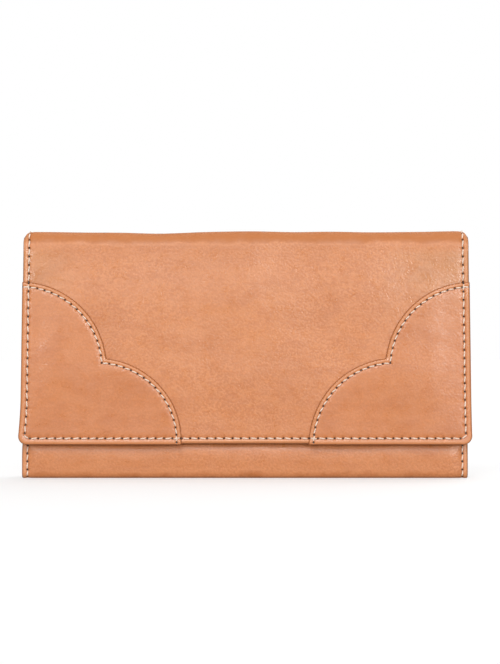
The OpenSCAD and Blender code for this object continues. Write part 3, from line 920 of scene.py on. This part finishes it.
def inside_out(x, s, depth):
    """The lined side of the leather, faced from within; depth 0 is the lining's own face."""
    return wrap(x, s, BACK_IN - depth)


def over_board(x, s, depth):
    """As inside_out, but the flap's lining steps back from the leather to pass over the board."""
    return wrap(x, s, BACK_IN - depth + BOARD * smooth((s - S_FLAP - 1.5) / 4))


inner_rows = [Row(row.line, holes=(False, True)) for row in flap_rows[:2]] + [Row(flap_rows[2].line)]
inner_rows += [Row(corner_shape(k)[1][0].line) for k in (-1, 1)]
front_cut = rectangle(HALF - LINING_INSET, LINING_INSET, S_MID_BASE)
back_cut = rectangle(HALF - LINING_INSET, S_MID_BASE, S_MID_TOP)
flap_cut = rectangle(
    lambda s: half_at(s) - LINING_INSET, S_MID_TOP, S_END - LINING_INSET,
    CORNER_R - LINING_INSET, (False, True),
)
for name, outline, place, square, rows, fold, nodes in (
    ("front_lining_sheet", front_cut, inside_out, (S_MID_BASE,), (), TOE_FOLD, ["front_lining"]),
    ("back_lining_sheet", back_cut, inside_out, (S_MID_BASE, S_MID_TOP), (), REAR_FOLD, ["back_lining"]),
    (
        "flap_lining_sheet", flap_cut, over_board, (S_MID_TOP,), inner_rows,
        FORE_FOLD, ["flap_lining", "top_lining"],
    ),
):
    lining = panel(name, outline, (0, LINING), [TWILL], place=place, flush=near(*square), rows=rows, grid=1.9)
    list(fold)
    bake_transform(lining)
    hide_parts(*nodes)
inner_thread = stitches("flap_inner_stitches", inner_rows, 0.0, place=over_board)
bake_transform(inner_thread)

# ---- pockets
FINE_THREAD = 0.6
END_GAP = 1.5  # the rows along the pockets' mouths stop this short of their sides


def mouth_row(start, end, s):
    return Row([(start, s), (end, s)])


slip_half = high("front_slip_pocket", X)
slip_top = high("front_slip_pocket", Z)
slip_low = low("front_slip_pocket", Z)
slip_rows = [mouth_row(-slip_half + END_GAP, slip_half - END_GAP, s_front(slip_top) + 2.0)]
slip = panel(
    "slip_pocket", rectangle(slip_half, s_front(slip_top), s_front(slip_low)), (-POCKET, -0.02), [INNER],
    place=inside_out, rows=slip_rows, grid=2.2, rim=0.08,
)
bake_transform(slip)
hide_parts("front_slip_pocket")
slip_thread = stitches("slip_pocket_stitches", slip_rows, -POCKET, place=inside_out)
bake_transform(slip_thread)

STRIPS = 4
SLOT_STEP = 12
SLOT_GAP = 0.9  # the card slots' rows stop this short of the seam between the two columns
for k in range(1, STRIPS + 1):
    node = f"card_strip_{k}"
    half, top, bottom = high(node, X), high(node, Z), low(node, Z)
    face = -POCKET * k
    mouth = s_back(top) - 2.0
    seam_end = s_back(max(top - SLOT_STEP, bottom) if k < STRIPS else bottom + SLOT_STEP)
    rows = [
        mouth_row(-half + END_GAP, -SLOT_GAP, mouth), mouth_row(SLOT_GAP, half - END_GAP, mouth),
        Row([(0.0, seam_end + 0.8), (0.0, s_back(top) - 0.6)]),
    ]
    strip = panel(
        f"card_pocket_{k}", rectangle(half, s_back(bottom), s_back(top), EDGE_ROUND, (False, True)),
        (face, face + POCKET - 0.02), [INNER], place=inside_out, rows=rows, grid=2.4, rim=0.05,
    )
    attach(strip, "back")
    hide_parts(node)
    thread = stitches(f"card_pocket_stitches_{k}", rows, face, place=inside_out, width=FINE_THREAD)
    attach(thread, "back")
    if k == 1:
        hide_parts("thread_card_strips")

# the coin pocket: one sheet folded under, with two ends
WALL = 0.9
END_WALL = 0.6
POUCH_R = 1.5
COIN_INSET = 2.2
POUCH = Path(
    [(Y_COIN, COIN_TOP), (Y_COIN, COIN_LOW), (Y_COIN_BACK, COIN_LOW), (Y_COIN_BACK, COIN_TOP)],
    [POUCH_R, POUCH_R],
)


def pouch(x, s, depth):
    p, n = POUCH.at(s)
    return np.column_stack([x, p - n * depth[:, None]])


coin_rows = [mouth_row(-COIN_HALF + 2, COIN_HALF - 2, s) for s in (COIN_INSET, POUCH.length - COIN_INSET)]
coin = panel(
    "coin_pouch", rectangle(COIN_HALF, 0, POUCH.length, 0.8), (0, WALL), [INNER, TWILL],
    place=pouch, rows=coin_rows, grid=2.4, rim=0.04,
)
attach(coin, "coin_pocket")
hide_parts("coin_front_wall", "coin_back_wall")
coin_thread = stitches("coin_pouch_stitches", coin_rows, 0.0, place=pouch, width=FINE_THREAD)
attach(coin_thread, "coin_pocket")

for side_name, sign in SIDES:
    node = f"coin_end_{side_name}"

    def end_place(y, z, depth):
        return np.column_stack([sign * (COIN_HALF - depth), y, z])

    near_y, far_y, end_low, end_top = low(node, Y), high(node, Y), low(node, Z), high(node, Z)
    outline = [(near_y, end_low), (far_y, end_low), (far_y, end_top), (near_y, end_top)]
    name = f"coin_end_panel_{side_name}"
    end = panel(name, outline, (0, END_WALL), [INNER, TWILL], place=end_place, grid=1.6)
    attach(end, "coin_pocket")
    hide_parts(node)

# ---- gussets
Y_IN = low("front_slip_pocket", Y)
Y_STRIPS = low("card_strip_4", Y)
GUSSET_T = 0.6
EDGE = high("gusset_right", X) - 0.25
VALLEY = low("gusset_right", X) + 0.3
GUSSET_LOW, GUSSET_TOP = low("gusset_right", Z), high("gusset_right", Z)
OFF = GUSSET_T / 2 + 0.1  # from a wall's face to the middle of the gusset sewn on it
END_X = COIN_HALF + OFF
LAPPED_X = END_X + 0.85  # the front pleat laps over the gusset that covers the pouch's end


def cut_corners(points, times=3, share=0.22):
    p = np.array(points, float)
    for _ in range(times):
        q = [p[0]]
        for a, b in zip(p[:-1], p[1:]):
            q += [a * (1 - share) + b * share, a * share + b * (1 - share)]
        p = np.array([*q, p[-1]])
    return p


def gusset(name, points, sign):
    """A pleat that follows points (x, y) seen from above, on the left (-1) or the right (1)."""
    line = cut_corners(points)
    run = run_of(line)
    slope = np.gradient(line, run, axis=0)
    slope /= np.linalg.norm(slope, axis=1)[:, None]

    def place(u, z, depth):
        x = np.interp(u, run, line[:, 0]) - np.interp(u, run, slope[:, 1]) * depth
        y = np.interp(u, run, line[:, 1]) + np.interp(u, run, slope[:, 0]) * depth
        return np.column_stack([sign * x, y, z])

    outline = [(0, GUSSET_LOW), (run[-1], GUSSET_LOW), (run[-1], GUSSET_TOP), (0, GUSSET_TOP)]
    return panel(name, outline, (-GUSSET_T / 2, GUSSET_T / 2), [INNER], place=place, grid=1.6)


fore, rear = (Y_IN + Y_COIN) / 2, (Y_COIN_BACK + Y_STRIPS) / 2
coin_fore, coin_rear = Y_COIN - OFF, Y_COIN_BACK + OFF
front_line = [
    (EDGE, Y_IN + OFF), (VALLEY, fore - 1.0), (VALLEY, fore - 0.2),
    (LAPPED_X, coin_fore - 2.2), (LAPPED_X, coin_fore + 1.2),
]
end_line = [(END_X, coin_fore), (END_X, Y_COIN_MID), (END_X, coin_rear)]
rear_line = [(END_X, coin_rear), (VALLEY, rear - 0.5), (VALLEY, rear + 0.5), (EDGE, Y_STRIPS - OFF)]
for side_name, sign in SIDES:
    front_pleat = gusset(f"gusset_front_{side_name}", front_line, sign)
    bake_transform(front_pleat)
    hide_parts(f"gusset_{side_name}")
    end_pleat = gusset(f"gusset_end_{side_name}", end_line, sign)
    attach(end_pleat, "coin_pocket")
    rear_pleat = gusset(f"gusset_rear_{side_name}", rear_line, sign)
    metres(coin_rear, 0)
    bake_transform(rear_pleat)

# ---- zip
CHAIN_TOP = high("zip_teeth_front", Z)
CHAIN_MID = middle_of("zip_teeth_front", Z)
TOOTH_PITCH = 2.4
TEETH = 63
TAPE_LOW = low("zip_tape_front", Z)
TAPE_TOP = high("zip_tape_front", Z)
TAPE_ENDS = {"left": (-85.0, 0.0), "right": (0.0, 84.0)}
# the stretch of each half, from x to x, over which the slider has passed
PARTS_OVER = {"left": (-84.0, -58.0), "right": (68.0, 46.0)}
# a tooth's sections along Y: where, half its width, half its height
TOOTH = (
    (-2.32, 0.3, 0.62), (-2.25, 0.42, 0.76), (-1.3, 0.5, 0.8), (-0.95, 0.46, 0.72),
    (-0.35, 0.4, 0.56), (0.1, 0.52, 0.6), (0.34, 0.46, 0.5), (0.42, 0.3, 0.34),
)
OCTAGON = ((-1, -0.6), (-0.6, -1), (0.6, -1), (1, -0.6), (1, 0.6), (0.6, 1), (-0.6, 1), (-1, 0.6))
# the tape's section (y, z), up from the wall's top and round its corded edge
CORD = (
    (0.0, 0.0), (0.0, 0.4), (0.5, 0.46), (0.9, 0.42), (1.2, 0.62), (1.5, 0.66),
    (1.7, 0.45), (1.7, 0.2), (1.5, -0.02), (1.2, 0.02), (0.9, 0.02),
)


def teeth(name, xs, sign):
    """Teeth at xs: each a clamp on the tape that narrows to a neck and widens to a head, along Y."""
    co, faces = [], []
    for x in xs:
        faces += tube(len(TOOTH), len(OCTAGON), len(co), mirrored=sign < 0)
        for y, hx, hz in TOOTH:
            co += [(x + a * hx, Y_COIN_MID + sign * y, CHAIN_MID + b * hz) for a, b in OCTAGON]
    row = make_object(name, co, faces, [BRASS])
    row.data.set_sharp_from_angle(angle=math.radians(50))
    return row


def tape_half(name, sign, start, end):
    """Half of one tape: a woven strip on the wall's top with a corded edge that the teeth grip."""
    xs = np.arange(start, end + 0.1, 1.2)
    outer = Y_COIN if sign > 0 else Y_COIN_BACK
    co = [(x, outer + sign * y, TAPE_LOW + z) for x in xs for y, z in CORD]
    lay = [(x / 1000, (y + z) / 1000, 0) for x in xs for y, z in CORD]
    return make_object(name, co, tube(len(xs), len(CORD), mirrored=sign < 0), [TAPE], {"lay": lay})


for side_name, sign, lip in (("front", 1, "zip_lip_front"), ("back", -1, "zip_lip_back")):
    first = low("zip_teeth_front", X) + 0.5 + (0.0 if sign > 0 else TOOTH_PITCH / 2)
    centres = [first + k * TOOTH_PITCH for k in range(TEETH)]
    for end_name, _ in SIDES:
        here = [x for x in centres if (x < 0) == (end_name == "left")]
        row = teeth(f"zip_teeth_{side_name}_{end_name}", here, sign)
        tape = tape_half(f"zip_tape_{side_name}_{end_name}", sign, *TAPE_ENDS[end_name])
        start, end = PARTS_OVER[end_name]
        for obj in (row, tape):
            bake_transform(obj)
        if end_name == "left":
            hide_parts(f"zip_teeth_{side_name}")
            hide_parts(f"zip_tape_{side_name}")

SLIDER_X = middle_of("zip_slider", X)
SLIDER_HALF = (high("zip_slider", X) - low("zip_slider", X)) / 2
PIN_Z = middle_of("zip_pin", Z)
PLATE = 0.9
PLATE_LOW = CHAIN_TOP + 0.2
PLATE_TOP = PLATE_LOW + PLATE
UNDER_TOP = COIN_TOP - 0.2
LUG_Y, LUG_HALF = 2.3, 0.38
FLANGE_HALF = 0.3


def seen_above(points):
    """Points (x, y) from the slider's middle, in place."""
    return [(SLIDER_X + u, Y_COIN_MID + v) for u, v in points]


def shield(wide, narrow):
    """A slider plate's outline: broad at the end where the teeth part, narrow at its tail."""
    half = [(u * SLIDER_HALF, v * wide) for u, v in ((-1.0, 0.55), (-0.9, 0.85), (-0.55, 1.0), (0.1, 0.98))]
    half += [(u * SLIDER_HALF, v * narrow) for u, v in ((0.8, 1.0), (0.97, 0.8), (1.0, 0.5))]
    return seen_above(half + [(u, -v) for u, v in reversed(half)])


post = seen_above([(-4.4, -0.6), (-3.1, -0.35), (-3.1, 0.35), (-4.4, 0.6)])
lug_side = ((-2.0, PLATE_TOP - 0.1), (2.0, PLATE_TOP - 0.1), (1.3, PIN_Z + 0.2), (0.75, PIN_Z + 1.15))
lug_side += ((-0.75, PIN_Z + 1.15), (-1.3, PIN_Z + 0.2))
lug = [(SLIDER_X + u, z) for u, z in lug_side]
parts = [
    (shield(3.1, 2.75), Z, PLATE_LOW, PLATE_TOP),
    (shield(1.85, 1.7), Z, UNDER_TOP - PLATE, UNDER_TOP),
    (post, Z, UNDER_TOP - 0.1, PLATE_LOW + 0.1),
]
for k in (-1, 1):
    parts.append((lug, Y, Y_COIN_MID + k * LUG_Y - LUG_HALF, Y_COIN_MID + k * LUG_Y + LUG_HALF))
    head, tail = k * 2.76, k * 2.55
    flange = [(-3.6, head - FLANGE_HALF), (4.2, tail - FLANGE_HALF)]
    flange += [(4.2, tail + FLANGE_HALF), (-3.6, head + FLANGE_HALF)]
    parts.append((seen_above(flange), Z, TAPE_TOP + 0.15, PLATE_LOW + 0.1))
slider = bevelled("slider_body", parts, 0.22, BRASS)
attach(slider, "zip_slider")
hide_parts("zip_slider")
pin_profile = [(r, Y_COIN_MID + y) for r, y in ((0.42, -2.85), (0.6, -2.75), (0.6, 2.75), (0.42, 2.85))]
pin = turned("slider_pin", pin_profile, (SLIDER_X, PIN_Z), STEEL, 24)
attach(pin, "zip_slider")
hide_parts("zip_pin")

NECK, NECK_HALF, SHOULDER = 3.0, 1.7, 4.6
EYE_R, EYE_HALF, SHANK = 1.25, 1.65, 3.2


def pull_parts():
    """The pull: an eye on the pin, a narrow neck, and a rounded blade with a raised middle."""
    length = high("zip_pull", X) - SLIDER_X
    half = high("zip_pull", Y) - Y_COIN_MID
    tip = bow((length - half, 0), half, math.pi / 2, -math.pi / 2, 15)
    blade = [(NECK, NECK_HALF), (SHOULDER, half), *tip, (SHOULDER, -half), (NECK, -NECK_HALF)]
    raised = [(3.9 + (u - 3.9) * 0.86, v * 0.62) for u, v in blade[1:-1]]
    eye = bow((SLIDER_X, PIN_Z), EYE_R, math.radians(30), math.radians(330), 20)
    eye += [(SLIDER_X + SHANK, PIN_Z - 0.55), (SLIDER_X + SHANK, PIN_Z + 0.55)]
    return [
        (seen_above(blade), Z, PIN_Z - 0.6, PIN_Z + 0.45),
        (seen_above(raised), Z, PIN_Z - 0.5, PIN_Z + 0.6),
        (eye, Y, Y_COIN_MID - EYE_HALF, Y_COIN_MID + EYE_HALF),
    ]


pull = bevelled("pull_tab", pull_parts(), 0.18, BRASS)
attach(pull, "zip_pull")
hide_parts("zip_pull")

# ---- snap
CAP_R, CAP_HOLE = 7.0, 2.8


def snap_half(name, face, section):
    """One half of the snap, turned from its section: (radius, how far behind its front face)."""
    return turned(name, [(r, face + back) for r, back in section], (0.0, SNAP_Z), BRASS)


front_face = low("snap_socket", Y)
depth = Y_FRONT - front_face
socket = snap_half("socket_cap", front_face, [
    (CAP_HOLE, depth), (CAP_HOLE, 0.45), (2.95, 0.2), (3.3, 0.06), (3.7, 0.1), (4.1, 0.28), (5.3, 0.28),
    (5.8, 0.1), (6.3, 0.0), (6.7, 0.12), (6.95, 0.45), (CAP_R, 0.9), (CAP_R, depth), (CAP_HOLE, depth),
])
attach(socket, "front_wall")
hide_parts("snap_socket")
stud = snap_half("stud_cap", low("snap_stud_washer", Y) + 0.4 + LINING, [
    (0.0, 0.0), (CAP_R, 0.0), (CAP_R, 0.25), (6.8, 0.55), (6.3, 0.68), (5.0, 0.5), (3.6, 0.46), (2.4, 0.6),
    (2.25, 1.0), (2.4, 1.5), (2.38, 1.85), (2.1, 2.12), (1.5, 2.2), (0.0, 2.2),
])
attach(stud, "flap")
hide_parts("snap_stud")

# ---- small metal from the CAD
shown = {"snap_stud_washer": STEEL, "snap_socket_washer": STEEL, "snap_magnet": DARK_STEEL}
for node, material in shown.items():
    NODES[node].data.materials.clear()
    NODES[node].data.materials.append(material)

stops = add_object("zip_end_stops", NODES["zip_stops"].data.copy())
soften(stops, 0.2, BRASS)
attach(stops, "coin_pocket")
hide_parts("zip_stops")

# ---- floor, light and camera
FLOOR_HALF = 6000
floor_material, t, shader = new_material("pale_floor")
dust = t.noise(t.where(), 3.0, 2.0)
t.put(shader, {
    "Base Color": t.mix(dust, (0.4, 0.4, 0.4, 1), (0.42, 0.42, 0.42, 1)),
    "Emission Color": (1, 1, 1, 1), "Emission Strength": t.to_camera(0.1, 0.52),
    "Roughness": 0.75, "Specular IOR Level": 0.2,
})
corners = [(FLOOR_HALF * a, FLOOR_HALF * b, 0) for a, b in ((-1, -1), (1, -1), (1, 1), (-1, 1))]
floor = make_object("floor", corners, [(0, 1, 2, 3)], [floor_material])


def lamp(name, towards, strength, angle):
    """A soft distant light that shines from a direction; angle is how wide it looks."""
    data = bpy.data.lights.new(name, "SUN")
    data.energy = strength
    data.angle = math.radians(angle)
    add_object(name, data).rotation_euler = Vector(towards).to_track_quat("Z", "Y").to_euler()


lamp("key", (-0.1, -0.82, 0.56), 1.55, 28)
lamp("right_softbox", (0.3, -0.94, 0.14), 0.95, 14)
lamp("left_softbox", (-0.3, -0.94, 0.14), 0.5, 14)
lamp("overhead", (0.0, 0.3, 1.0), 1.0, 35)
lamp("behind", (0.4, 0.8, 0.5), 1.1, 50)
world = bpy.data.worlds.new("studio")
SCENE.world = world
world.use_nodes = True
background = world.node_tree.nodes["Background"]
t = Nodes(world.node_tree)
t.put(background, {"Color": (1, 1, 1, 1), "Strength": t.to_camera(0.32, 1.0)})
SCENE.view_settings.view_transform = "Standard"

LENS = 250
FILLED = 0.904  # how much of the picture's width the wallet takes
CAMERA_X, CAMERA_Z = 0.00169, 0.0619
camera_data = bpy.data.cameras.new("camera")
camera_data.sensor_fit = "HORIZONTAL"
camera_data.lens = LENS
camera = add_object("camera", camera_data)
frame_width = (CAD_BOX[1][X] - CAD_BOX[0][X]) * 1000 / FILLED
distance = frame_width * LENS / camera_data.sensor_width
camera.location = (CAMERA_X, (Y_FLAP - distance) / 1000, CAMERA_Z)
camera.rotation_euler = (math.pi / 2, 0, 0)
SCENE.camera = camera
